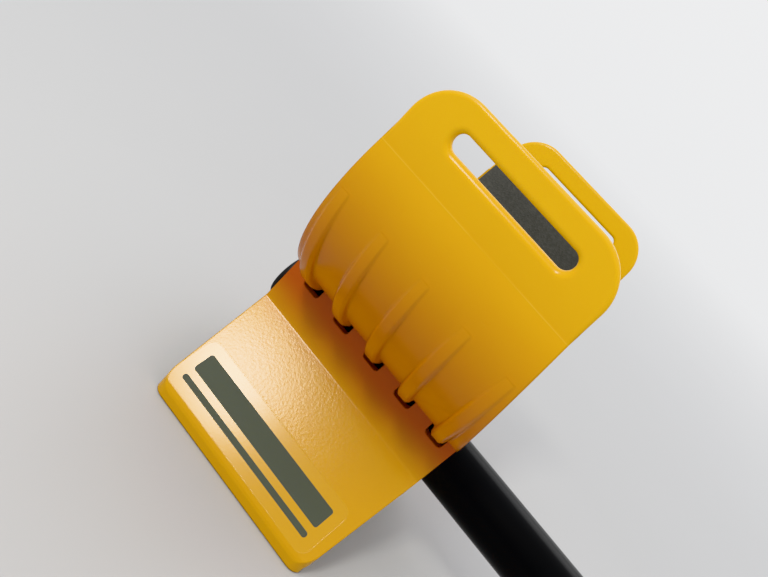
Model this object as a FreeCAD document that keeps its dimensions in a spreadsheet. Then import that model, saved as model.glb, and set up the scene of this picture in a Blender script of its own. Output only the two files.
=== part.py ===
import FreeCAD, Part
import Sketcher
import math
import os

# Arm cuff and stand on the upper stem of a metal detector. All lengths are millimetres.
# Bodies are drawn about the stem axis, x = 0 at the rear end of the stand, and then placed.

DRIVING = [
    ("stem_radius", 11.1), ("stem_bore", 9.6), ("stem_length", 178.0), ("axis_height", 46.0),
    ("plug_flange", 2.0), ("flange_edge", 1.3), ("plug_spigot", 9.55), ("plug_depth", 12.0),
    ("plug_bore", 7.0),
    ("stand_length", 85.5), ("stand_rear", -86.8), ("wall_outer", 14.7), ("saddle_radius", 11.2),
    ("wall_top", 17.0), ("crease_drop", 6.4), ("plate_half", 45.6), ("plate_drop", 41.65),
    ("plate_wall", 3.0), ("plate_taper", 3.2), ("plate_corner", 5.0), ("rim_wall", 2.6),
    ("edge_easing", 1.0), ("web_wall", 3.0), ("seat_gap", 0.1),
    ("cuff_radius", 61.25), ("cuff_wall", 3.0), ("cuff_centre", 72.5), ("parting_level", 73.7),
    ("tab_top", 97.9), ("tab_lean", 3.5), ("tab_corner", 14.0),
    ("cuff_rear_set", 4.5), ("cuff_rear_run", 8.9), ("cuff_front_run", 6.0), ("tab_draft", 0.06),
    ("slot_rear", 23.2), ("slot_front", 66.3), ("slot_low", 84.5), ("slot_high", 90.3),
    ("rib_first", 10.9), ("rib_pitch", 16.65), ("rib_crest", 60.46), ("rib_shift", 3.82),
    ("rib_depth", 5.0), ("rib_half", 3.9), ("rib_shoulder", 2.5), ("rib_flat", 1.6), ("rib_start", 14.5),
    ("rib_swing", 63.5), ("notch_half", 3.9), ("notch_floor", 7.4),
    ("liner_gap", 0.3), ("liner_thick", 4.0), ("liner_inset", 1.6), ("liner_level", 78.5),
    ("liner_hole", 9.0),
    ("bolt_rear", 21.0), ("bolt_pitch", 43.5), ("bolt_radius", 3.0), ("bolt_hole", 3.3),
    ("bolt_length", 46.5), ("head_radius", 5.4), ("head_height", 3.3), ("socket_radius", 2.3),
    ("socket_depth", 2.0), ("boss_radius", 8.0), ("boss_rise", 0.7),
    ("washer_radius", 6.2), ("washer_thick", 1.6), ("washer_bore", 3.06),
    ("nut_radius", 11.5), ("nut_height", 11.0), ("nut_hub", 7.5), ("nut_hub_height", 2.5),
    ("scallop_radius", 4.5), ("scallop_reach", 14.2),
    ("insert_radius", 5.0), ("insert_bore", 3.05),
]

DERIVED = [
    ("foot_drop", "axis_height"),
    ("plate_slope", "(plate_half - wall_outer) / (plate_drop - crease_drop)"),
    ("plate_shift", "plate_wall * sqrt(1 + plate_slope ^ 2)"),
    ("web_drop", "saddle_radius + web_wall"),
    ("hollow_half", "wall_outer + (web_drop - crease_drop) * plate_slope - plate_shift"),
    ("rim_inner", "plate_half - rim_wall"),
    ("rim_drop", "crease_drop + (rim_inner + plate_shift - wall_outer) / plate_slope"),
    ("below_foot", "foot_drop + 2"),
    ("easing_inner", "plate_half - edge_easing"),
    ("easing_high", "plate_drop - edge_easing / plate_slope"),
    ("easing_middle", "plate_half - edge_easing * 0.28"),
    ("easing_low", "plate_drop + edge_easing"),
    ("plate_front", "stand_length - plate_taper"),
    ("seat_radius", "cuff_radius + seat_gap"),
    ("stand_height", "foot_drop + wall_top"),
    ("cuff_inner", "cuff_radius - cuff_wall"),
    ("tab_outer", "cuff_radius + tab_lean"),
    ("tab_inner", "tab_outer - cuff_wall"),
    ("cuff_floor", "cuff_centre - cuff_radius"),
    ("cuff_rise", "parting_level - cuff_floor"),
    ("end_spare", "4"),
    ("block_length", "stand_length + 2 * end_spare"),
    ("far", "cuff_centre + 80"),
    ("far_front", "stand_length + 80"),
    ("cuff_rear_top", "cuff_rear_run + (far - parting_level) * tab_draft"),
    ("cuff_front_edge", "stand_length - cuff_front_run"),
    ("cuff_front_top", "cuff_front_edge - (far - parting_level) * tab_draft"),
    ("cuff_rear_low", "cuff_rear_set - (cuff_rear_run - cuff_rear_set) * cuff_floor / cuff_rise"),
    ("cuff_front_low", "stand_length + cuff_front_run * cuff_floor / cuff_rise"),
    ("rib_axis", "cuff_centre - rib_shift"),
    ("rib_base_level", "rib_depth - rib_crest"),
    ("rib_left", "rib_first - rib_half"),
    ("rib_right", "rib_first + rib_half"),
    ("rib_left_shoulder", "rib_first - rib_shoulder"),
    ("rib_right_shoulder", "rib_first + rib_shoulder"),
    ("rib_shoulder_level", "0.8 - rib_crest"),
    ("rib_left_flat", "rib_first - rib_flat"),
    ("rib_right_flat", "rib_first + rib_flat"),
    ("rib_span", "rib_pitch * 4"),
    ("notch_left", "rib_first - notch_half"),
    ("notch_right", "rib_first + notch_half"),
    ("liner_outer", "cuff_inner - liner_gap"),
    ("liner_inner", "liner_outer - liner_thick"),
    ("liner_front", "stand_length - liner_inset"),
    ("liner_rear_top", "cuff_rear_run + liner_inset"),
    ("liner_front_top", "cuff_front_edge - liner_inset"),
    ("liner_rear_low", "cuff_rear_set + liner_inset"),
    ("boss_level", "cuff_floor + cuff_wall + boss_rise"),
    ("boss_height", "cuff_wall + boss_rise - 1"),
    ("boss_start", "cuff_floor + 1"),
    ("bolt_front", "bolt_rear + bolt_pitch"),
    ("head_level", "boss_level + washer_thick"),
    ("washer_level", "0 - web_drop - washer_thick"),
    ("nut_level", "washer_level - nut_height"),
    ("slot_radius", "(slot_high - slot_low) / 2 - 0.1"),
    ("stem_start", "stand_rear - 3.2 + plug_flange"),
    ("stem_hole_rear", "stand_rear + bolt_rear - stem_start"),
    ("stem_hole_front", "stem_hole_rear + bolt_pitch"),
    ("rear_row", "stand_rear + bolt_rear"),
    ("front_row", "stand_rear + bolt_front"),
    ("head_height_row", "axis_height + head_level"),
    ("head_washer_row", "axis_height + boss_level"),
    ("washer_row", "axis_height + washer_level"),
    ("nut_row", "axis_height + nut_level"),
    ("nut_grip", "nut_height - nut_hub_height"),
    ("tip_round", "0.6"),
    ("crease_round", "1.5"),
    ("notch_round", "1.5"),
    ("slot_outer_round", "1.8"),
    ("slot_inner_round", "0.8"),
    ("tab_round", "1"),
    ("head_rounding", "1.8"),
    ("grip_round", "0.8"),
]

doc = FreeCAD.newDocument("arm_cuff_and_stand")
sheet = doc.addObject("Spreadsheet::Sheet", "Sizes")


def fill_sheet():
    """Writes every size as a named cell, the derived ones as formulas."""
    row = 1
    for name, number in DRIVING:
        sheet.set("A%d" % row, name)
        sheet.set("B%d" % row, "%g" % number)
        sheet.setAlias("B%d" % row, name)
        row += 1
    for name, formula in DERIVED:
        sheet.set("A%d" % row, name)
        sheet.set("B%d" % row, "=" + formula)
        sheet.setAlias("B%d" % row, name)
        row += 1
    doc.recompute()


def size(name):
    """The number behind a cell name; a leading minus turns its sign, 0 is zero."""
    if name == "0":
        return 0.0
    if name.startswith("-"):
        return -float(sheet.get(name[1:]))
    return float(sheet.get(name))


def bind(item, place, name):
    """Ties one property of an object to a cell."""
    sign = "-" if name.startswith("-") else ""
    item.setExpression(place, sign + "Sizes." + name.lstrip("-"))


def new_body(name, place=("stand_rear", "0", "axis_height")):
    body = doc.addObject("PartDesign::Body", name)
    body.Label = name
    for letter, cell in zip("xyz", place):
        if cell != "0":
            bind(body, "Placement.Base." + letter, cell)
    return body


def new_sketch(body, plane, name, offset=None):
    """A sketch on one of the body's own origin planes, lifted along its normal by a cell."""
    sketch = body.newObject("Sketcher::SketchObject", name)
    support = [f for f in body.Origin.OriginFeatures if f.Role == plane][0]
    sketch.AttachmentSupport = (support, [""])
    sketch.MapMode = "FlatFace"
    if offset:
        bind(sketch, "AttachmentOffset.Base.z", offset)
    return sketch


def pin_down(sketch, geometry, point, across, up):
    """Holds one sketch point at two cells from the sketch origin."""
    for kind, name in (("DistanceX", across), ("DistanceY", up)):
        if name == "0":
            axis = -2 if kind == "DistanceX" else -1
            sketch.addConstraint(Sketcher.Constraint("PointOnObject", geometry, point, axis))
            continue
        rule = Sketcher.Constraint(kind, -1, 1, geometry, point, size(name))
        bind(sketch, "Constraints[%d]" % sketch.addConstraint(rule), name)


def add_polygon(sketch, points):
    first = sketch.GeometryCount
    count = len(points)
    spots = [FreeCAD.Vector(size(a), size(b), 0) for a, b in points]
    for i in range(count):
        sketch.addGeometry(Part.LineSegment(spots[i], spots[(i + 1) % count]), False)
    for i in range(count):
        after = first + (i + 1) % count
        sketch.addConstraint(Sketcher.Constraint("Coincident", first + i, 2, after, 1))
    for i in range(count):
        pin_down(sketch, first + i, 1, points[i][0], points[i][1])


def add_mirrored(sketch, points):
    """The polygon and its twin on the other side of the sketch's upright axis."""
    add_polygon(sketch, points)
    flipped = []
    for a, b in points:
        flipped.append((a[1:] if a.startswith("-") else "-" + a, b))
    add_polygon(sketch, flipped)


def both_sides(points):
    """A symmetrical outline from its right-hand half."""
    return points + [("-" + a, b) for a, b in reversed(points)]


def add_circle(sketch, across, up, radius):
    spot = FreeCAD.Vector(size(across), size(up), 0)
    index = sketch.addGeometry(Part.Circle(spot, FreeCAD.Vector(0, 0, 1), size(radius)), False)
    pin_down(sketch, index, 3, across, up)
    rule = sketch.addConstraint(Sketcher.Constraint("Radius", index, size(radius)))
    bind(sketch, "Constraints[%d]" % rule, radius)


def pad(body, sketch, length, name):
    feature = body.newObject("PartDesign::Pad", name)
    feature.Profile = sketch
    bind(feature, "Length", length)
    doc.recompute()
    return feature


def cut_through(body, sketch, name):
    """A pocket both ways from the sketch through everything."""
    feature = body.newObject("PartDesign::Pocket", name)
    feature.Profile = sketch
    feature.Type = "ThroughAll"
    feature.Midplane = True
    doc.recompute()
    return feature


def repeat_along_x(body, feature, name, span, count):
    pattern = body.newObject("PartDesign::LinearPattern", name)
    pattern.Originals = [feature]
    pattern.Direction = ([f for f in body.Origin.OriginFeatures if f.Role == "X_Axis"][0], [""])
    bind(pattern, "Length", span)
    pattern.Occurrences = count
    body.Tip = pattern
    doc.recompute()
    return pattern


def edges_where(body, wanted):
    """Names of the body's edges whose middle point and direction there pass a test."""
    names = []
    for i, edge in enumerate(body.Tip.Shape.Edges):
        first, last = edge.ParameterRange
        middle = edge.valueAt((first + last) / 2)
        way = edge.tangentAt((first + last) / 2)
        if wanted(edge, middle, way):
            names.append("Edge%d" % (i + 1))
    return names


def round_off(body, names, radius, name):
    before = body.Tip
    feature = body.newObject("PartDesign::Fillet", name)
    feature.Base = (before, names)
    bind(feature, "Radius", radius)
    body.Tip = feature
    doc.recompute()
    return feature


def make_stem():
    body = new_body("stem_tube", ("stem_start", "0", "axis_height"))
    sketch = new_sketch(body, "YZ_Plane", "stem_ring")
    add_circle(sketch, "0", "0", "stem_radius")
    add_circle(sketch, "0", "0", "stem_bore")
    pad(body, sketch, "stem_length", "stem_wall")
    holes = new_sketch(body, "XY_Plane", "bolt_holes")
    add_circle(holes, "stem_hole_rear", "0", "bolt_hole")
    add_circle(holes, "stem_hole_front", "0", "bolt_hole")
    cut_through(body, holes, "bolt_hole_cut")
    return body


def make_plug():
    """Rubbery end cap: a flange over the tube's rear rim and a hollow spigot inside it."""
    body = new_body("stem_rear_plug", ("stem_start", "0", "axis_height"))
    flange = new_sketch(body, "YZ_Plane", "flange_ring")
    add_circle(flange, "0", "0", "stem_radius")
    feature = pad(body, flange, "plug_flange", "flange")
    feature.Reversed = True
    doc.recompute()
    rear = edges_where(body, lambda e, m, w: m.x < 0.01 - size("plug_flange"))
    round_off(body, rear, "flange_edge", "flange_rounding")
    spigot = new_sketch(body, "YZ_Plane", "spigot_ring")
    add_circle(spigot, "0", "0", "plug_spigot")
    add_circle(spigot, "0", "0", "plug_bore")
    pad(body, spigot, "plug_depth", "spigot")
    return body


def make_stand():
    """Hollow foot: a saddle for the stem between two walls, over a pair of flared plates."""
    body = new_body("stand")
    plan = new_sketch(body, "XY_Plane", "plan_outline", "-foot_drop")
    add_polygon(plan, [
        ("0", "wall_outer"), ("plate_taper", "plate_half"), ("plate_front", "plate_half"),
        ("stand_length", "wall_outer"), ("stand_length", "-wall_outer"),
        ("plate_front", "-plate_half"), ("plate_taper", "-plate_half"), ("0", "-wall_outer"),
    ])
    pad(body, plan, "stand_height", "block")
    half = size("plate_half")
    corners = edges_where(body, lambda e, m, w: abs(abs(m.y) - half) < 0.01 and abs(w.z) > 0.9)
    round_off(body, corners, "plate_corner", "plan_corners")

    outside = new_sketch(body, "YZ_Plane", "outside_shape")
    add_mirrored(outside, [
        ("wall_outer", "far"), ("wall_outer", "-crease_drop"), ("easing_inner", "-easing_high"),
        ("easing_middle", "-plate_drop"), ("plate_half", "-easing_low"),
        ("far", "-easing_low"), ("far", "far"),
    ])
    cut_through(body, outside, "outside_cut")
    hollow = new_sketch(body, "YZ_Plane", "hollow_shape")
    add_polygon(hollow, both_sides([
        ("hollow_half", "-web_drop"), ("rim_inner", "-rim_drop"), ("rim_inner", "-below_foot"),
    ]))
    cut_through(body, hollow, "hollow_cut")
    channel = new_sketch(body, "YZ_Plane", "channel_shape")
    add_polygon(channel, both_sides([("saddle_radius", "0"), ("saddle_radius", "far")]))
    cut_through(body, channel, "channel_cut")
    saddle = new_sketch(body, "YZ_Plane", "saddle_shape")
    add_circle(saddle, "0", "0", "saddle_radius")
    cut_through(body, saddle, "saddle_cut")
    seat = new_sketch(body, "YZ_Plane", "cuff_seat")
    add_circle(seat, "0", "cuff_centre", "seat_radius")
    cut_through(body, seat, "seat_cut")

    drop, wall, slope = size("crease_drop"), size("wall_outer"), size("plate_slope")

    def on_plate(m):
        return abs((abs(m.y) - wall) / slope + m.z + drop) < 0.02

    crease = edges_where(body, lambda e, m, w: on_plate(m) and abs(m.z + drop) < 0.02)
    round_off(body, crease, "crease_round", "crease_rounding")

    notch = new_sketch(body, "XZ_Plane", "rib_notch")
    add_polygon(notch, [
        ("notch_left", "notch_floor"), ("notch_right", "notch_floor"),
        ("notch_right", "wall_top"), ("notch_left", "wall_top"),
    ])
    first = cut_through(body, notch, "first_notch")
    repeat_along_x(body, first, "notch_row", "rib_span", 5)
    floor = size("notch_floor")
    inner = edges_where(body, lambda e, m, w: abs(w.y) > 0.99 and abs(m.z - floor) < 0.01)
    round_off(body, inner, "notch_round", "notch_corners")
    holes = new_sketch(body, "XY_Plane", "bolt_holes", "-web_drop")
    add_circle(holes, "bolt_rear", "0", "bolt_hole")
    add_circle(holes, "bolt_front", "0", "bolt_hole")
    cut_through(body, holes, "bolt_hole_cut")
    return body


def on_cuff_end(m):
    """Whether a point lies on the sloping rear or front end of the cuff."""
    rise = min(1, (m.z - size("cuff_floor")) / size("cuff_rise"))
    over = max(0.0, m.z - size("parting_level")) * size("tab_draft")
    rear = size("cuff_rear_set") + (size("cuff_rear_run") - size("cuff_rear_set")) * rise + over
    front = size("stand_length") - size("cuff_front_run") * rise - over
    return abs(m.x - rear) < 0.05 or abs(m.x - front) < 0.05


def on_tab_outside(m):
    """Whether a point lies nearer a tab's outer face than its inner one."""
    lean = size("tab_lean") * (m.z - size("parting_level")) / (size("tab_top") - size("parting_level"))
    return abs(m.y) > size("cuff_radius") + lean - size("cuff_wall") / 2


def add_rib(body, side, start):
    """One rib, turned about an axis below the cuff's own so that it fades into the wall."""
    section = new_sketch(body, "XZ_Plane", side + "_rib_section")
    bind(section, "AttachmentOffset.Base.y", "rib_axis")
    section.AttachmentOffset = FreeCAD.Placement(
        FreeCAD.Vector(0, size("rib_axis"), 0), FreeCAD.Rotation(FreeCAD.Vector(1, 0, 0), size(start)))
    doc.recompute()
    add_polygon(section, [
        ("rib_left", "rib_base_level"), ("rib_left_shoulder", "rib_shoulder_level"),
        ("rib_left_flat", "-rib_crest"), ("rib_right_flat", "-rib_crest"),
        ("rib_right_shoulder", "rib_shoulder_level"), ("rib_right", "rib_base_level"),
    ])
    ridge = body.newObject("PartDesign::Revolution", side + "_rib")
    ridge.Profile = section
    ridge.ReferenceAxis = (section, ["H_Axis"])
    bind(ridge, "Angle", "rib_swing")
    ridge.Reversed = start.startswith("-")
    doc.recompute()
    return ridge


def make_cuff():
    """Half-round trough with leaning side tabs, five fading ribs a side and two strap slots."""
    body = new_body("arm_cuff")
    disc = new_sketch(body, "YZ_Plane", "outer_round", "-end_spare")
    add_circle(disc, "0", "cuff_centre", "cuff_radius")
    pad(body, disc, "block_length", "outer_disc")
    tabs = new_sketch(body, "YZ_Plane", "tab_outline", "-end_spare")
    add_polygon(tabs, both_sides([
        ("cuff_radius", "cuff_centre"), ("cuff_radius", "parting_level"), ("tab_outer", "tab_top"),
    ]))
    pad(body, tabs, "block_length", "tab_block")

    ridges = [add_rib(body, "right", "rib_start"), add_rib(body, "left", "-rib_start")]
    row = repeat_along_x(body, ridges[0], "rib_row", "rib_span", 5)
    row.Originals = ridges
    doc.recompute()
    inner = new_sketch(body, "YZ_Plane", "inner_round")
    add_circle(inner, "0", "cuff_centre", "cuff_inner")
    cut_through(body, inner, "trough_cut")
    between = new_sketch(body, "YZ_Plane", "between_tabs")
    add_polygon(between, both_sides([
        ("cuff_inner", "cuff_centre"), ("cuff_inner", "parting_level"), ("tab_inner", "tab_top"),
        ("far", "tab_top"), ("far", "far"),
    ]))
    cut_through(body, between, "between_cut")

    ends = new_sketch(body, "XZ_Plane", "sloping_ends")
    add_polygon(ends, [
        ("cuff_rear_low", "0"), ("cuff_rear_run", "parting_level"),
        ("cuff_rear_top", "far"), ("-far", "far"), ("-far", "0"),
    ])
    add_polygon(ends, [
        ("cuff_front_low", "0"), ("far_front", "0"), ("far_front", "far"),
        ("cuff_front_top", "far"), ("cuff_front_edge", "parting_level"),
    ])
    cut_through(body, ends, "end_cut")

    top = size("tab_top")
    short = size("cuff_wall") + 0.5
    across = edges_where(body, lambda e, m, w: abs(w.y) > 0.99 and m.z > top - 0.1
                         and e.Length < short)
    round_off(body, across, "tab_corner", "tab_corners")
    parting = size("parting_level")
    rims = edges_where(body, lambda e, m, w: e.Length > short and m.z > parting and (
        on_cuff_end(m) or m.z > top - 0.02 or (m.z > top - 15 and abs(w.y) < 0.5)))
    round_off(body, rims, "tab_round", "tab_rounding")

    slots = new_sketch(body, "XZ_Plane", "strap_slots")
    add_polygon(slots, [
        ("slot_rear", "slot_low"), ("slot_front", "slot_low"),
        ("slot_front", "slot_high"), ("slot_rear", "slot_high"),
    ])
    cut_through(body, slots, "slot_cut")
    low, high = size("slot_low") - 0.1, size("slot_high") + 0.1
    rear, front = size("slot_rear") - 0.1, size("slot_front") + 0.1
    across = edges_where(body, lambda e, m, w: abs(w.y) > 0.99 and low < m.z < high)
    round_off(body, across, "slot_radius", "slot_corners")
    for outside, radius in ((True, "slot_outer_round"), (False, "slot_inner_round")):
        around = edges_where(body, lambda e, m, w: abs(w.y) < 0.9 and low < m.z < high
                             and rear < m.x < front and on_tab_outside(m) == outside)
        round_off(body, around, radius, radius + "ing")
    boss = new_sketch(body, "XY_Plane", "bolt_bosses", "boss_start")
    add_circle(boss, "bolt_rear", "0", "boss_radius")
    add_circle(boss, "bolt_front", "0", "boss_radius")
    pad(body, boss, "boss_height", "boss_pads")
    holes = new_sketch(body, "XY_Plane", "bolt_holes", "boss_start")
    add_circle(holes, "bolt_rear", "0", "bolt_hole")
    add_circle(holes, "bolt_front", "0", "bolt_hole")
    cut_through(body, holes, "bolt_hole_cut")
    return body


def make_liner():
    """Foam sheet inside the trough, set in from its ends, with windows over the bolt heads."""
    body = new_body("cuff_liner")
    ring = new_sketch(body, "YZ_Plane", "liner_ring")
    add_circle(ring, "0", "cuff_centre", "liner_outer")
    add_circle(ring, "0", "cuff_centre", "liner_inner")
    pad(body, ring, "liner_front", "liner_sheet")
    sides = new_sketch(body, "YZ_Plane", "liner_sides")
    add_mirrored(sides, [
        ("liner_inner", "cuff_centre"), ("liner_outer", "cuff_centre"),
        ("liner_outer", "far"), ("liner_inner", "far"),
    ])
    pad(body, sides, "liner_front", "liner_side_strips")
    above = new_sketch(body, "YZ_Plane", "liner_opening")
    add_polygon(above, both_sides([("liner_inner", "cuff_centre"), ("liner_inner", "far")]))
    cut_through(body, above, "liner_opening_cut")
    ends = new_sketch(body, "XZ_Plane", "liner_outline")
    add_polygon(ends, [
        ("liner_rear_low", "0"), ("liner_rear_low", "cuff_floor"),
        ("liner_rear_top", "liner_level"), ("liner_front_top", "liner_level"),
        ("far_front", "liner_level"), ("far_front", "far"), ("-far", "far"), ("-far", "0"),
    ])
    cut_through(body, ends, "rear_and_top_cut")
    front = new_sketch(body, "XZ_Plane", "liner_front_outline")
    add_polygon(front, [
        ("liner_front", "cuff_floor"), ("far_front", "cuff_floor"), ("far_front", "far"),
        ("liner_front_top", "far"), ("liner_front_top", "liner_level"),
    ])
    cut_through(body, front, "front_cut")
    holes = new_sketch(body, "XY_Plane", "bolt_windows")
    add_circle(holes, "bolt_rear", "0", "liner_hole")
    add_circle(holes, "bolt_front", "0", "liner_hole")
    cut_through(body, holes, "bolt_window_cut")
    return body


def make_bolt(name, along):
    """Button-head bolt standing head up, with a socket for the key."""
    body = new_body(name, (along, "0", "head_height_row"))
    shank = new_sketch(body, "XY_Plane", "shank_round")
    add_circle(shank, "0", "0", "bolt_radius")
    feature = pad(body, shank, "bolt_length", "shank")
    feature.Reversed = True
    doc.recompute()
    tip = edges_where(body, lambda e, m, w: m.z < -size("bolt_length") + 0.01)
    round_off(body, tip, "tip_round", "tip_rounding")
    head = new_sketch(body, "XY_Plane", "head_round")
    add_circle(head, "0", "0", "head_radius")
    pad(body, head, "head_height", "head")
    rim = edges_where(body, lambda e, m, w: m.z > size("head_height") - 0.01)
    round_off(body, rim, "head_rounding", "head_dome")
    socket = new_sketch(body, "XY_Plane", "socket_round", "head_height")
    add_circle(socket, "0", "0", "socket_radius")
    pocket = body.newObject("PartDesign::Pocket", "socket")
    pocket.Profile = socket
    bind(pocket, "Length", "socket_depth")
    doc.recompute()
    return body


def make_washer(name, along, level):
    body = new_body(name, (along, "0", level))
    ring = new_sketch(body, "XY_Plane", "washer_ring")
    add_circle(ring, "0", "0", "washer_radius")
    add_circle(ring, "0", "0", "washer_bore")
    pad(body, ring, "washer_thick", "washer_plate")
    return body


def make_thumb_nut(name, along):
    """Round plastic knob with six finger scallops and a hub against the washer."""
    body = new_body(name, (along, "0", "nut_row"))
    knob = new_sketch(body, "XY_Plane", "knob_round")
    add_circle(knob, "0", "0", "nut_radius")
    pad(body, knob, "nut_grip", "knob")
    scallop = new_sketch(body, "XY_Plane", "scallop_round")
    add_circle(scallop, "scallop_reach", "0", "scallop_radius")
    first = cut_through(body, scallop, "first_scallop")
    pattern = body.newObject("PartDesign::PolarPattern", "scallop_ring")
    pattern.Originals = [first]
    pattern.Axis = ([f for f in body.Origin.OriginFeatures if f.Role == "Z_Axis"][0], [""])
    pattern.Angle = 360
    pattern.Occurrences = 6
    body.Tip = pattern
    doc.recompute()
    grip = size("nut_grip")
    rims = edges_where(body, lambda e, m, w: abs(m.z) < 0.01 or abs(m.z - grip) < 0.01)
    round_off(body, rims, "grip_round", "grip_rounding")
    hub = new_sketch(body, "XY_Plane", "hub_round")
    add_circle(hub, "0", "0", "nut_hub")
    pad(body, hub, "nut_height", "hub")
    bore = new_sketch(body, "XY_Plane", "insert_bore")
    add_circle(bore, "0", "0", "insert_radius")
    cut_through(body, bore, "insert_bore_cut")
    return body


def make_insert(name, along):
    body = new_body(name, (along, "0", "nut_row"))
    ring = new_sketch(body, "XY_Plane", "insert_ring")
    add_circle(ring, "0", "0", "insert_radius")
    add_circle(ring, "0", "0", "insert_bore")
    pad(body, ring, "nut_height", "insert_sleeve")
    return body


def group(name, members):
    """Identical fixed fasteners as separate solids under one name."""
    item = doc.addObject("Part::Compound", name)
    item.Label = name
    item.Links = members
    doc.recompute()
    return item


def build_all():
    fill_sheet()
    heads = "head_washer_row"
    nodes = [
        make_cuff(), make_liner(), make_stand(), make_stem(), make_plug(),
        group("cuff_bolts", [make_bolt("bolt_a", "rear_row"), make_bolt("bolt_b", "front_row")]),
        group("bolt_head_washers", [
            make_washer("head_washer_a", "rear_row", heads),
            make_washer("head_washer_b", "front_row", heads),
        ]),
    ]
    for end in ("rear", "front"):
        nodes.append(make_washer(end + "_washer", end + "_row", "washer_row"))
        nodes.append(make_thumb_nut(end + "_thumb_nut", end + "_row"))
        nodes.append(make_insert(end + "_nut_insert", end + "_row"))
    return nodes


def check_and_write(nodes):
    """Stops on any faulty object, then writes one STEP file for each node."""
    doc.recompute()
    for item in doc.Objects:
        if "Invalid" in item.State or "Error" in item.State:
            raise RuntimeError("faulty object " + item.Name)
    os.makedirs("parts", exist_ok=True)
    for node in nodes:
        shape = node.Shape
        if shape.isNull() or not shape.isValid() or not shape.Solids:
            raise RuntimeError("faulty shape " + node.Label)
        shape.exportStep("parts/" + node.Label + ".step")


check_and_write(build_all())
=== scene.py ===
"""Looks of a metal detector's arm cuff and stand on its upper stem, over the CAD frame."""
import math

import bpy
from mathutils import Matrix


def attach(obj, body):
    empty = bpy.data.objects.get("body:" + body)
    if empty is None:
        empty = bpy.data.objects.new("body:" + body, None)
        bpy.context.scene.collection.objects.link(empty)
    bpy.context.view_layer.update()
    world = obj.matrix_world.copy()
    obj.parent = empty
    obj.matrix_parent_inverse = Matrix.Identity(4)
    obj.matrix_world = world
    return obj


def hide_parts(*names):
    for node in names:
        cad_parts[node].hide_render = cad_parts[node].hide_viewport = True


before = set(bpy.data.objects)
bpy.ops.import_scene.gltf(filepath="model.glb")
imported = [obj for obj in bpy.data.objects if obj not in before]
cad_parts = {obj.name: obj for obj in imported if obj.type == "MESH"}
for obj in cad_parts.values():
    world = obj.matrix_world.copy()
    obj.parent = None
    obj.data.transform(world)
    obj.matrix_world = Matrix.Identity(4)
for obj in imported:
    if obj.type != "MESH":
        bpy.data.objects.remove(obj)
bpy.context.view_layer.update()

MM = 0.001
ROOT = "clamped_stack"

# Where things lie, in millimetres in the row's frame: x forward, y to the left, z up.
STEM_Z = 46.0
STAND_REAR = -86.8
STAND_FRONT = -1.3
BOLT_X = (-65.8, -22.3)

# The cuff: its arc's axis, the lowest point of its wall, its parting line, and the x of each end at the
# floor and at the parting line.
CUFF_Z = STEM_Z + 72.5
CUFF_FLOOR = CUFF_Z - 61.25
PARTING_Z = STEM_Z + 73.7
CUFF_REAR = (STAND_REAR + 4.5, STAND_REAR + 8.9)
CUFF_FRONT = (STAND_FRONT, STAND_FRONT - 6.0)

# The foam liner: its inner and outer radius, its top, how far its ends stay inside the cuff's, the
# radius of its bolt windows and the rounding of its edges.
LINER_RADII = (53.95, 57.95)
LINER_TOP = STEM_Z + 78.5
LINER_INSET = 1.6
LINER_WINDOW = 9.0
LINER_EDGE = 0.5

# The right-hand plate's outer face: its crease and its lower edge, each as distance from the middle
# and height.
CREASE = (14.7, STEM_Z - 6.4)
PLATE_EDGE = (45.6, STEM_Z - 41.65)

# The label on that plate: its middle, as x and distance down the slope, half its size the same way, the
# round of its corners and the width of its rim. Each bar has its distance below the middle and its half.
LABEL_MIDDLE = (-45.8, 34.6)
LABEL_HALF = (38.5, 10.8)
LABEL_CORNER = 4.0
LABEL_RIM = 0.35
THICK_BAR = (-2.4, (34.0, 4.0))
THIN_BAR = (5.4, (34.0, 1.1))
BAR_CORNER = 1.0

# The bolts' thread: its pitch and the height where it starts.
THREAD_PITCH = 1.0
THREAD_TOP = 30.0


# ---------------------------------------------------------------- shader groups

def new_group(name, inputs, outputs):
    """An empty shader group with named sockets; gives the tree, its input and its output node."""
    tree = bpy.data.node_groups.new(name, "ShaderNodeTree")
    for kind, label, value in inputs:
        socket = tree.interface.new_socket(label, in_out="INPUT", socket_type="NodeSocket" + kind)
        if value is not None:
            socket.default_value = value
    for kind, label in outputs:
        tree.interface.new_socket(label, in_out="OUTPUT", socket_type="NodeSocket" + kind)
    return tree, tree.nodes.new("NodeGroupInput"), tree.nodes.new("NodeGroupOutput")


def add_node(tree, kind, values=None, **settings):
    """A shader node with its settings, constants and incoming links made in one go."""
    node = tree.nodes.new("ShaderNode" + kind)
    for key, value in settings.items():
        setattr(node, key, value)
    for key, value in (values or {}).items():
        if isinstance(value, bpy.types.NodeSocket):
            tree.links.new(value, node.inputs[key])
        else:
            node.inputs[key].default_value = value
    return node


def maths(tree, operation, a, b=0.0):
    """One arithmetic step on two values."""
    return add_node(tree, "Math", {0: a, 1: b}, operation=operation).outputs[0]


def band(tree, value, low, high):
    """0 below low, 1 above high, smooth between."""
    node = add_node(tree, "MapRange", {"Value": value, "From Min": low, "From Max": high},
                    interpolation_type="SMOOTHSTEP")
    return node.outputs["Result"]


def stretched(tree, vector, scale):
    """The coordinates scaled by a different factor along each axis."""
    return add_node(tree, "Mapping", {"Vector": vector, "Scale": scale}).outputs["Vector"]


def peel_height(tree, vector, scale):
    """Orange peel: coarse noise with a third as much finer noise on it."""
    coarse = add_node(tree, "TexNoise", {"Vector": vector, "Scale": scale,
                                         "Detail": 2.0, "Roughness": 0.45})
    fine_scale = maths(tree, "MULTIPLY", scale, 3.7)
    fine = add_node(tree, "TexNoise", {"Vector": vector, "Scale": fine_scale, "Detail": 1.0})
    return maths(tree, "ADD", coarse.outputs[0], maths(tree, "MULTIPLY", fine.outputs[0], 0.3))


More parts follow.
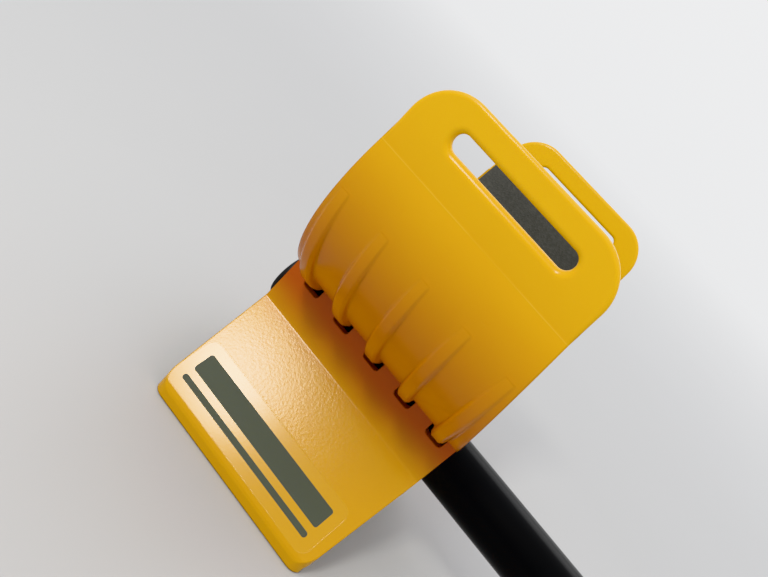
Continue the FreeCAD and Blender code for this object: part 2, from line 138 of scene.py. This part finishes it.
def scratch_marks(tree, vector):
    """Thin slanting marks that appear in patches."""
    along = stretched(tree, vector, (260.0, 3000.0, 3000.0))
    turned = add_node(tree, "VectorRotate", {"Vector": along, "Angle": 0.6}, rotation_type="Y_AXIS")
    marks = add_node(tree, "TexNoise", {"Vector": turned.outputs[0], "Scale": 1.0, "Detail": 1.0})
    patch = add_node(tree, "TexNoise", {"Vector": vector, "Scale": 70.0, "Detail": 0.0})
    return maths(tree, "MULTIPLY", band(tree, marks.outputs[0], 0.70, 0.78),
                 band(tree, patch.outputs[0], 0.52, 0.62))


def dust_specks(tree, vector):
    """A small dark dot in one cell of about twenty."""
    cells = add_node(tree, "TexVoronoi", {"Vector": vector, "Scale": 85.0})
    near = band(tree, cells.outputs["Distance"], 0.035, 0.018)
    chance = add_node(tree, "SeparateColor", {"Color": cells.outputs["Color"]})
    return maths(tree, "MULTIPLY", near, band(tree, chance.outputs[0], 0.93, 0.96))


def moulded_skin_group():
    """Orange-peel height, slow colour clouds, fine scratches and rare dust specks of moulded plastic."""
    tree, start, end = new_group(
        "moulded_skin",
        [("Vector", "Vector", None), ("Float", "Peel Scale", 900.0), ("Float", "Wear", 0.5)],
        [("Float", "Height"), ("Float", "Cloud"), ("Float", "Scratch"), ("Float", "Specks")])
    vector = start.outputs["Vector"]
    cloud = add_node(tree, "TexNoise", {"Vector": vector, "Scale": 26.0, "Detail": 3.0})
    scratch = maths(tree, "MULTIPLY", scratch_marks(tree, vector), start.outputs["Wear"])
    tree.links.new(peel_height(tree, vector, start.outputs["Peel Scale"]), end.inputs["Height"])
    tree.links.new(cloud.outputs[0], end.inputs["Cloud"])
    tree.links.new(scratch, end.inputs["Scratch"])
    tree.links.new(dust_specks(tree, vector), end.inputs["Specks"])
    return tree


def drawn_skin_group():
    """Fine lines along X, faint clouds and rubbed streaks of a drawn and coated tube."""
    tree, start, end = new_group(
        "drawn_skin", [("Vector", "Vector", None), ("Float", "Line Scale", 1.0)],
        [("Float", "Height"), ("Float", "Cloud"), ("Float", "Rubbed")])
    vector = start.outputs["Vector"]
    lines = add_node(tree, "TexNoise", {"Vector": stretched(tree, vector, (18.0, 1600.0, 1600.0)),
                                        "Scale": start.outputs["Line Scale"], "Detail": 2.0})
    grain = add_node(tree, "TexNoise", {"Vector": vector, "Scale": 2600.0, "Detail": 1.0})
    cloud = add_node(tree, "TexNoise", {"Vector": vector, "Scale": 30.0, "Detail": 4.0})
    rubbed = maths(tree, "MULTIPLY", band(tree, lines.outputs[0], 0.60, 0.75),
                   band(tree, cloud.outputs[0], 0.52, 0.68))
    height = maths(tree, "ADD", lines.outputs[0], maths(tree, "MULTIPLY", grain.outputs[0], 0.8))
    tree.links.new(height, end.inputs["Height"])
    tree.links.new(cloud.outputs[0], end.inputs["Cloud"])
    tree.links.new(rubbed, end.inputs["Rubbed"])
    return tree


def foam_cell_group():
    """Closed foam cells: pit depth, a tint per cell and a slow cloud."""
    tree, start, end = new_group(
        "foam_cells", [("Vector", "Vector", None), ("Float", "Cell Scale", 1500.0)],
        [("Float", "Height"), ("Float", "Tint"), ("Float", "Cloud")])
    vector = start.outputs["Vector"]
    cells = add_node(tree, "TexVoronoi", {"Vector": vector, "Scale": start.outputs["Cell Scale"],
                                          "Randomness": 1.0})
    tint = add_node(tree, "SeparateColor", {"Color": cells.outputs["Color"]})
    cloud = add_node(tree, "TexNoise", {"Vector": vector, "Scale": 60.0, "Detail": 5.0})
    height = maths(tree, "ADD", cells.outputs["Distance"],
                   maths(tree, "MULTIPLY", cloud.outputs[0], 0.6))
    tree.links.new(height, end.inputs["Height"])
    tree.links.new(tint.outputs[0], end.inputs["Tint"])
    tree.links.new(cloud.outputs[0], end.inputs["Cloud"])
    return tree


def rounded_box(tree, u, v, middle, half, corner):
    """1 inside a box with round corners on two coordinates in millimetres, 0 outside it."""
    reach = []
    for value, centre, size in zip((u, v), middle, half):
        away = maths(tree, "ABSOLUTE", maths(tree, "SUBTRACT", value, centre))
        reach.append(maths(tree, "MAXIMUM", maths(tree, "SUBTRACT", away, size - corner), 0.0))
    squares = [maths(tree, "POWER", value, 2.0) for value in reach]
    distance = maths(tree, "SQRT", maths(tree, "ADD", *squares))
    return band(tree, distance, corner + 0.06, corner - 0.06)


def plate_coordinates(tree, vector):
    """Millimetres on the right-hand plate: along the stem, down from its crease, and out of its face."""
    in_mm = add_node(tree, "VectorMath", {0: vector, "Scale": 1000.0}, operation="SCALE")
    place = add_node(tree, "SeparateXYZ", {"Vector": in_mm.outputs[0]}).outputs
    across = maths(tree, "SUBTRACT", maths(tree, "MULTIPLY", place["Y"], -1.0), CREASE[0])
    down = maths(tree, "SUBTRACT", CREASE[1], place["Z"])
    wide = PLATE_EDGE[0] - CREASE[0]
    deep = CREASE[1] - PLATE_EDGE[1]
    length = math.hypot(wide, deep)
    slope = maths(tree, "ADD", maths(tree, "MULTIPLY", across, wide / length),
                  maths(tree, "MULTIPLY", down, deep / length))
    out = maths(tree, "SUBTRACT", maths(tree, "MULTIPLY", across, deep / length),
                maths(tree, "MULTIPLY", down, wide / length))
    return place["X"], slope, out


def printed_label_group():
    """A film label on the right-hand plate: masks of its film, its plain printed bars and its rim."""
    tree, start, end = new_group(
        "printed_label", [("Vector", "Vector", None)],
        [("Float", "Film"), ("Float", "Bars"), ("Float", "Rim")])
    along, slope, out = plate_coordinates(tree, start.outputs["Vector"])
    outer_side = band(tree, out, -0.5, -0.3)
    film = rounded_box(tree, along, slope, LABEL_MIDDLE, LABEL_HALF, LABEL_CORNER)
    inner_half = [half - LABEL_RIM for half in LABEL_HALF]
    inner = rounded_box(tree, along, slope, LABEL_MIDDLE, inner_half, LABEL_CORNER - LABEL_RIM)
    bars = []
    for lower, half in (THICK_BAR, THIN_BAR):
        middle = (LABEL_MIDDLE[0], LABEL_MIDDLE[1] + lower)
        bars.append(rounded_box(tree, along, slope, middle, half, BAR_CORNER))
    masks = {
        "Film": film,
        "Bars": maths(tree, "MAXIMUM", *bars),
        "Rim": maths(tree, "SUBTRACT", film, inner),
    }
    for label, value in masks.items():
        tree.links.new(maths(tree, "MULTIPLY", value, outer_side), end.inputs[label])
    return tree


GROUPS = {
    "moulded": moulded_skin_group(),
    "drawn": drawn_skin_group(),
    "foam": foam_cell_group(),
    "label": printed_label_group(),
}


# ---------------------------------------------------------------- materials

# The parting line's lighter tint is a painted highlight along its ridge.
FLASH_HIGHLIGHT_YELLOW = (0.90, 0.62, 0.10, 1.0)
SCRATCH_YELLOW = (0.95, 0.72, 0.30, 1.0)
DUST_BROWN = (0.10, 0.05, 0.02, 1.0)
FILM_TINT = (0.70, 0.52, 0.16, 1.0)
PRINT_GREEN = (0.042, 0.075, 0.070, 1.0)


def new_material(name):
    """A material with a Principled shader and object coordinates; gives tree, shader, vector."""
    material = bpy.data.materials.new(name)
    material.use_nodes = True
    tree = material.node_tree
    shader = tree.nodes["Principled BSDF"]
    vector = add_node(tree, "TexCoord").outputs["Object"]
    return material, tree, shader, vector


def use_group(tree, key, values):
    """Places one of the groups with its own values; gives its outputs."""
    node = tree.nodes.new("ShaderNodeGroup")
    node.node_tree = GROUPS[key]
    for label, value in values.items():
        if isinstance(value, bpy.types.NodeSocket):
            tree.links.new(value, node.inputs[label])
        else:
            node.inputs[label].default_value = value
    return node.outputs


def mixed(tree, share, first, second):
    """A colour between two, by a share."""
    node = add_node(tree, "Mix", {0: share, 6: first, 7: second}, data_type="RGBA")
    return node.outputs[2]


def span(tree, value, low, high):
    """Maps 0..1 to low..high."""
    return add_node(tree, "MapRange", {"Value": value, "To Min": low, "To Max": high}).outputs["Result"]


def bumped(tree, shader, height, distance, strength=1.0, edge=0.0):
    """Bump from a height by a distance in metres, over edges that the shader rounds by a radius."""
    values = {"Height": height, "Distance": distance, "Strength": strength}
    if edge:
        values["Normal"] = add_node(tree, "Bevel", {"Radius": edge}, samples=8).outputs[0]
    tree.links.new(add_node(tree, "Bump", values).outputs[0], shader.inputs["Normal"])


def set_look(tree, shader, **looks):
    """Constants and links by socket name, with underscores for spaces."""
    for label, value in looks.items():
        socket = shader.inputs[label.replace("_", " ")]
        if isinstance(value, bpy.types.NodeSocket):
            tree.links.new(value, socket)
        else:
            socket.default_value = value


def parting_ridge_and_highlight(tree, level, skin):
    """A faint line round the cuff, where the two halves of its mould met: a real ridge that also carries
    a painted highlight.
    """
    off = maths(tree, "ABSOLUTE", maths(tree, "SUBTRACT", level, PARTING_Z * MM))
    broken = band(tree, skin["Cloud"], 0.25, 0.5)
    return maths(tree, "MULTIPLY", band(tree, off, 0.00022, 0.00008), broken)


def add_label(tree, vector, colour, rough, height):
    """Lays the film label over the plastic: clear and smooth film, dull printed bars, a raised rim."""
    masks = use_group(tree, "label", {"Vector": vector})
    colour = mixed(tree, maths(tree, "MULTIPLY", masks["Film"], 0.10), colour, FILM_TINT)
    colour = mixed(tree, maths(tree, "MULTIPLY", masks["Bars"], 0.93), colour, PRINT_GREEN)
    rough = maths(tree, "SUBTRACT", rough, maths(tree, "MULTIPLY", masks["Film"], 0.03))
    rough = maths(tree, "ADD", rough, maths(tree, "MULTIPLY", masks["Bars"], 0.45))
    smoothed = maths(tree, "MULTIPLY", height, span(tree, masks["Film"], 1.0, 0.15))
    return colour, rough, maths(tree, "ADD", smoothed, masks["Rim"])


def yellow_plastic(name, deep, pale, shade_levels, peel, edge, parting=False, label=False):
    """Glossy moulded plastic with painted shade, deep at one level and paler at another, with a parting
    line or a label.

    The shade levels are the heights in millimetres where the painted shade is deepest and where the
    colour is palest. The peel is the scale and strength of the surface texture.
    """
    material, tree, shader, vector = new_material(name)
    skin = use_group(tree, "moulded", {"Vector": vector, "Peel Scale": peel[0], "Wear": 0.12})
    # Painted shade: the colour darkens towards one height and pales towards another. On the cuff, its
    # lower part facing away from the light is darker. On the stand, its riser under the cuff's overhang
    # is darker.
    level = add_node(tree, "SeparateXYZ", {"Vector": vector}).outputs["Z"]
    shade_height = maths(tree, "ADD", level, maths(tree, "MULTIPLY", skin["Cloud"], 0.008))
    colour = mixed(tree, band(tree, shade_height, shade_levels[0] * MM, shade_levels[1] * MM), deep, pale)
    height = skin["Height"]
    if parting:
        line = parting_ridge_and_highlight(tree, level, skin)
        # The ridge is real. The lighter tint along it is a painted highlight.
        colour = mixed(tree, maths(tree, "MULTIPLY", line, 0.3), colour, FLASH_HIGHLIGHT_YELLOW)
        height = maths(tree, "ADD", height, maths(tree, "MULTIPLY", line, 1.5))
    colour = mixed(tree, maths(tree, "MULTIPLY", skin["Scratch"], 0.35), colour, SCRATCH_YELLOW)
    colour = mixed(tree, maths(tree, "MULTIPLY", skin["Specks"], 0.8), colour, DUST_BROWN)
    rough = maths(tree, "ADD", span(tree, skin["Cloud"], 0.19, 0.25),
                  maths(tree, "MULTIPLY", skin["Scratch"], 0.25))
    if label:
        colour, rough, height = add_label(tree, vector, colour, rough, height)
    set_look(tree, shader, Base_Color=colour, Roughness=rough, IOR=1.50, Subsurface_Weight=0.12,
             Subsurface_Radius=(0.9, 0.7, 0.1), Subsurface_Scale=0.0015)
    bumped(tree, shader, height, 0.00004, peel[1], edge=edge)
    return material


def black_tube():
    """Satin black coat of the drawn stem tube, with faint rubbed streaks along it."""
    material, tree, shader, vector = new_material("black_satin_coat")
    skin = use_group(tree, "drawn", {"Vector": vector, "Line Scale": 1.0})
    base = mixed(tree, skin["Cloud"], (0.003, 0.003, 0.003, 1.0), (0.007, 0.007, 0.008, 1.0))
    colour = mixed(tree, maths(tree, "MULTIPLY", skin["Rubbed"], 0.4), base, (0.03, 0.03, 0.033, 1.0))
    set_look(tree, shader, Base_Color=colour, Roughness=span(tree, skin["Cloud"], 0.27, 0.36),
             Specular_IOR_Level=0.22)
    bumped(tree, shader, skin["Height"], 0.000012, 0.6, edge=0.0003)
    return material


def dull_black(name, roughness, scale):
    """Black rubber or knob plastic, by its middle roughness and the scale of its texture."""
    material, tree, shader, vector = new_material(name)
    skin = use_group(tree, "moulded", {"Vector": vector, "Peel Scale": scale, "Wear": 0.4})
    base = mixed(tree, skin["Cloud"], (0.010, 0.010, 0.011, 1.0), (0.022, 0.022, 0.023, 1.0))
    colour = mixed(tree, maths(tree, "MULTIPLY", skin["Scratch"], 0.4), base, (0.08, 0.08, 0.08, 1.0))
    set_look(tree, shader, Base_Color=colour,
             Roughness=span(tree, skin["Cloud"], roughness - 0.06, roughness + 0.06))
    bumped(tree, shader, skin["Height"], 0.00004, 0.6, edge=0.0005)
    return material


def liner_foam():
    """Charcoal closed-cell foam."""
    material, tree, shader, vector = new_material("charcoal_foam")
    cells = use_group(tree, "foam", {"Vector": vector, "Cell Scale": 1400.0})
    shade = maths(tree, "ADD", maths(tree, "MULTIPLY", cells["Tint"], 0.35),
                  maths(tree, "MULTIPLY", cells["Cloud"], 0.65))
    colour = mixed(tree, shade, (0.060, 0.060, 0.055, 1.0), (0.125, 0.124, 0.112, 1.0))
    set_look(tree, shader, Base_Color=colour, Roughness=span(tree, cells["Cloud"], 0.82, 0.95),
             Sheen_Weight=0.25, Sheen_Roughness=0.5)
    bumped(tree, shader, cells["Height"], 0.00012, 0.8)
    return material


def thread_turns(tree, vector):
    """Ridges and grooves of the bolts' thread, below the height where it starts."""
    level = add_node(tree, "SeparateXYZ", {"Vector": vector}).outputs["Z"]
    half_pitch = THREAD_PITCH / 2 * MM
    turns = maths(tree, "MULTIPLY", maths(tree, "PINGPONG", level, half_pitch), 1.0 / half_pitch)
    threaded = band(tree, level, THREAD_TOP * MM, (THREAD_TOP - 0.5) * MM)
    return maths(tree, "MULTIPLY", turns, threaded)


def bare_metal(name, dark, light, thread=False):
    """Plated or plain metal between a dark and a light tone, with a thread on the bolts."""
    material, tree, shader, vector = new_material(name)
    skin = use_group(tree, "drawn", {"Vector": vector, "Line Scale": 0.6})
    height = skin["Height"]
    if thread:
        height = maths(tree, "ADD", height, maths(tree, "MULTIPLY", thread_turns(tree, vector), 6.0))
    set_look(tree, shader, Base_Color=mixed(tree, skin["Cloud"], dark, light), Metallic=1.0,
             Roughness=span(tree, skin["Cloud"], 0.28, 0.45))
    bumped(tree, shader, height, 0.00003, 0.5, edge=0.0003)
    return material


MATERIALS = {
    # The cuff's deep-to-pale colour is painted shade, darker towards its underside. The stand's is
    # painted shade on its riser under the cuff, paler on the plate.
    "cuff": yellow_plastic("yellow_moulding_cuff", deep=(0.52, 0.165, 0.002, 1.0),
                           pale=(0.80, 0.46, 0.003, 1.0), shade_levels=(76.0, 144.0), peel=(780.0, 0.2),
                           edge=0.0012, parting=True),
    "stand": yellow_plastic("yellow_moulding_stand", deep=(0.42, 0.082, 0.001, 1.0),
                            pale=(0.60, 0.315, 0.003, 1.0), shade_levels=(58.0, 38.0), peel=(1000.0, 0.8),
                            edge=0.0007, label=True),
    "tube": black_tube(),
    "rubber": dull_black("black_rubber", roughness=0.5, scale=900.0),
    "knob": dull_black("black_knob_plastic", roughness=0.42, scale=1200.0),
    "foam": liner_foam(),
    "steel": bare_metal("plated_steel", (0.42, 0.42, 0.43, 1.0), (0.62, 0.62, 0.62, 1.0)),
    "bolt": bare_metal("plated_bolt_steel", (0.40, 0.40, 0.41, 1.0), (0.60, 0.60, 0.60, 1.0),
                       thread=True),
    "brass": bare_metal("insert_brass", (0.55, 0.38, 0.14, 1.0), (0.75, 0.55, 0.24, 1.0)),
}

NODE_LOOKS = {
    "arm_cuff": "cuff", "stand": "stand", "stem_tube": "tube", "stem_rear_plug": "rubber",
    "cuff_bolts": "bolt", "bolt_head_washers": "steel", "rear_washer": "steel",
    "front_washer": "steel", "rear_thumb_nut": "knob", "front_thumb_nut": "knob",
    "rear_nut_insert": "brass", "front_nut_insert": "brass",
}


def dress(node, material):
    """Gives a CAD node one material, in every slot that it has."""
    if not node.material_slots:
        node.data.materials.append(material)
    for material_slot in node.material_slots:
        material_slot.material = material


for node_name, look in NODE_LOOKS.items():
    dress(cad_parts[node_name], MATERIALS[look])


# ---------------------------------------------------------------- modelling helpers

def only(obj):
    """Selects and activates one object, with everything else deselected."""
    if bpy.context.object and bpy.context.object.mode != "OBJECT":
        bpy.ops.object.mode_set(mode="OBJECT")
    bpy.ops.object.select_all(action="DESELECT")
    obj.select_set(True)
    bpy.context.view_layer.objects.active = obj


def fresh(name):
    """Names the object that an operator has just added."""
    obj = bpy.context.object
    obj.name = name
    obj.data.name = name
    return obj


def apply_all(obj):
    """Puts an object's place, turn and scale into its mesh."""
    only(obj)
    bpy.ops.object.transform_apply(location=True, rotation=True, scale=True)


def apply_modifier(obj, kind, **settings):
    """Adds a modifier with its settings and applies it."""
    only(obj)
    modifier = obj.modifiers.new(kind.lower(), kind)
    for key, value in settings.items():
        setattr(modifier, key, value)
    bpy.ops.object.modifier_apply(modifier=modifier.name)


def pick_faces(obj, wanted):
    """Edit mode with the faces selected whose centre and normal pass a test."""
    only(obj)
    bpy.ops.object.mode_set(mode="EDIT")
    bpy.ops.mesh.select_mode(type="FACE")
    bpy.ops.mesh.select_all(action="DESELECT")
    bpy.ops.object.mode_set(mode="OBJECT")
    for face in obj.data.polygons:
        face.select = wanted(face.center, face.normal)
    bpy.ops.object.mode_set(mode="EDIT")


def done(obj, look):
    """Finishes a new piece: faces outward, smooth, material, slot and body."""
    only(obj)
    bpy.ops.object.mode_set(mode="EDIT")
    bpy.ops.mesh.select_all(action="SELECT")
    bpy.ops.mesh.normals_make_consistent(inside=False)
    bpy.ops.object.mode_set(mode="OBJECT")
    bpy.ops.object.shade_smooth_by_angle(angle=math.radians(40.0))
    obj.data.materials.clear()
    obj.data.materials.append(MATERIALS[look])
    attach(obj, ROOT)


def cut_round(obj, along, radius, level, height):
    """An upright round hole through a piece, with its own cutter, which is then removed."""
    bpy.ops.object.select_all(action="DESELECT")
    bpy.ops.mesh.primitive_cylinder_add(vertices=48, radius=radius * MM, depth=height * MM,
                                        location=(along * MM, 0.0, level * MM))
    cutter = fresh("cutter")
    apply_modifier(obj, "BOOLEAN", operation="DIFFERENCE", object=cutter, solver="EXACT")
    bpy.data.objects.remove(cutter)


# ---------------------------------------------------------------- foam liner

def sweep_trough():
    """A flat strip swept half round the cuff's axis, with its two rims drawn straight up."""
    inner, outer = LINER_RADII
    low, high = CUFF_REAR[0], CUFF_FRONT[0]
    bpy.ops.object.select_all(action="DESELECT")
    bpy.ops.mesh.primitive_plane_add(size=1.0)
    trough = fresh("foam_liner")
    trough.scale = ((high - low) * MM, (outer - inner) * MM, 1.0)
    trough.location = ((low + high) / 2 * MM, (inner + outer) / 2 * MM, CUFF_Z * MM)
    apply_all(trough)
    pick_faces(trough, lambda centre, normal: True)
    bpy.ops.mesh.spin(steps=96, angle=math.pi, center=(0.0, 0.0, CUFF_Z * MM), axis=(1.0, 0.0, 0.0))
    bpy.ops.mesh.select_all(action="SELECT")
    bpy.ops.mesh.normals_make_consistent(inside=False)
    rims = (CUFF_Z - 0.5) * MM
    pick_faces(trough, lambda centre, normal: normal.z > 0.99 and centre.z > rims)
    bpy.ops.mesh.extrude_region_move(
        TRANSFORM_OT_translate={"value": (0.0, 0.0, (LINER_TOP - CUFF_Z) * MM)})
    bpy.ops.object.mode_set(mode="OBJECT")
    return trough


def slope_end(obj, side, low, high):
    """Cuts one end back as it rises, inside the cuff's own sloping end; side is -1 behind, 1 in front."""
    rise = PARTING_Z - CUFF_FLOOR
    run = abs(high - low)
    slant = math.hypot(rise, run)
    pick_faces(obj, lambda centre, normal: True)
    bpy.ops.mesh.bisect(plane_co=((low - side * LINER_INSET) * MM, 0.0, CUFF_FLOOR * MM),
                        plane_no=(side * rise / slant, 0.0, run / slant),
                        use_fill=True, clear_outer=True)
    bpy.ops.object.mode_set(mode="OBJECT")


def make_liner():
    """Foam trough with upright sides, sloping ends, bolt windows and softened edges."""
    trough = sweep_trough()
    slope_end(trough, -1, *CUFF_REAR)
    slope_end(trough, 1, *CUFF_FRONT)
    for along in BOLT_X:
        cut_round(trough, along, LINER_WINDOW, CUFF_FLOOR + 5.0, 20.0)
    apply_modifier(trough, "BEVEL", width=LINER_EDGE * MM, segments=3, limit_method="ANGLE",
                   angle_limit=math.radians(50.0))
    done(trough, "foam")
    return trough


liner = make_liner()
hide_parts("cuff_liner")


# ---------------------------------------------------------------- floor, light, camera

# The room: its colour, its strength level with the floor, and how much it gains above and behind.
BLACK = (0.0, 0.0, 0.0, 1.0)
ROOM_COLOUR = (0.985, 0.99, 1.0, 1.0)
ROOM_STRENGTH = 0.72
ROOM_LEAN = 0.40

# The key light: where it stands, where it points, its size, power and colour.
KEY_PLACE = (-0.29, -0.66, 0.70)
KEY_TARGET = (-0.075, -0.034, 0.018)
KEY_SIZE = (0.15, 0.11)
KEY_POWER = 3.2
KEY_COLOUR = (1.0, 0.98, 0.90)

# Two soft suns: the direction they stand in, their strength and their width in degrees.
SUNS = {
    "rear_sun": ((0.18, 0.65, 0.735), 0.3, 30.0),
    "front_sun": ((-0.45, -0.45, 0.77), 0.35, 26.0),
}

# The viewpoint: its place in metres, its turn in degrees and its lens in millimetres.
VIEW_PLACE = (-0.01621, -0.22697, 0.15529)
VIEW_TURN = (62.149, -42.390, 30.726)
VIEW_LENS = 31.9


def floor_material():
    """Pale paper that turns into the room's own light with distance, so that no horizon shows."""
    material, tree, shader, vector = new_material("pale_paper")
    grain = add_node(tree, "TexNoise", {"Vector": vector, "Scale": 3.0, "Detail": 4.0})
    paper = mixed(tree, grain.outputs[0], (0.52, 0.52, 0.525, 1.0), (0.55, 0.55, 0.555, 1.0))
    distance = add_node(tree, "VectorMath", {0: vector}, operation="LENGTH").outputs["Value"]
    away = maths(tree, "MAXIMUM", maths(tree, "SUBTRACT", distance, 0.25), 0.0)
    far = maths(tree, "DIVIDE", away, maths(tree, "ADD", away, 1.2))
    behind = add_node(tree, "SeparateXYZ", {"Vector": vector}).outputs["Y"]
    back = maths(tree, "DIVIDE", behind, distance)
    room = maths(tree, "ADD", maths(tree, "MULTIPLY", back, ROOM_LEAN * 0.5), ROOM_STRENGTH)
    glow = mixed(tree, maths(tree, "MULTIPLY", far, room), BLACK, ROOM_COLOUR)
    set_look(tree, shader, Base_Color=mixed(tree, far, paper, BLACK), Roughness=0.9,
             Specular_IOR_Level=0.0, Emission_Color=glow, Emission_Strength=1.0)
    return material


def make_floor():
    """A wide flat floor just below the foot."""
    bpy.ops.object.select_all(action="DESELECT")
    bpy.ops.mesh.primitive_plane_add(size=60.0, location=(0.0, 0.0, -0.0005))
    floor = fresh("pale_floor")
    apply_all(floor)
    floor.data.materials.append(floor_material())


def aimed(aim):
    """The turn that points a lamp along a direction."""
    flat = math.hypot(aim[0], aim[1])
    return math.atan2(flat, -aim[2]), 0.0, math.atan2(aim[1], aim[0]) - math.pi / 2


def add_to_scene(name, data):
    """A new object in the scene that holds a light or a camera."""
    holder = bpy.data.objects.new(name, data)
    bpy.context.scene.collection.objects.link(holder)
    return holder


def make_key_light():
    """A small soft panel, whose reflection lies on the right-hand plate."""
    light = bpy.data.lights.new("soft_key", "AREA")
    light.shape = "RECTANGLE"
    light.size, light.size_y = KEY_SIZE
    light.energy = KEY_POWER
    light.color = KEY_COLOUR
    holder = add_to_scene("soft_key", light)
    holder.location = KEY_PLACE
    holder.rotation_euler = aimed([target - place for target, place in zip(KEY_TARGET, KEY_PLACE)])


def add_sun(name, towards, power, width):
    """A soft sun that stands in the given direction."""
    sun = bpy.data.lights.new(name, "SUN")
    sun.energy = power
    sun.angle = math.radians(width)
    holder = add_to_scene(name, sun)
    holder.rotation_euler = aimed([-part for part in towards])


def make_room():
    """A pale room that is brightest above and behind the object."""
    world = bpy.data.worlds.new("pale_room")
    world.use_nodes = True
    tree = world.node_tree
    direction = add_node(tree, "TexCoord").outputs["Generated"]
    lean = add_node(tree, "VectorMath", {0: direction, 1: (0.0, 0.5, 0.87)}, operation="DOT_PRODUCT")
    added = maths(tree, "MULTIPLY", lean.outputs["Value"], ROOM_LEAN)
    strength = maths(tree, "ADD", added, ROOM_STRENGTH)
    background = tree.nodes["Background"]
    background.inputs["Color"].default_value = ROOM_COLOUR
    tree.links.new(strength, background.inputs["Strength"])
    bpy.context.scene.world = world


def make_camera():
    """The viewpoint: low over the right-hand plate, rolled so that the stem runs down to the right."""
    camera = bpy.data.cameras.new("viewpoint")
    camera.lens = VIEW_LENS
    camera.sensor_width = 36.0
    camera.clip_start = 0.01
    holder = add_to_scene("viewpoint", camera)
    holder.location = VIEW_PLACE
    holder.rotation_euler = [math.radians(part) for part in VIEW_TURN]
    bpy.context.scene.camera = holder


make_floor()
make_key_light()
for sun_name, sun_values in SUNS.items():
    add_sun(sun_name, *sun_values)
make_room()
make_camera()
bpy.context.scene.view_settings.view_transform = "Khronos PBR Neutral"
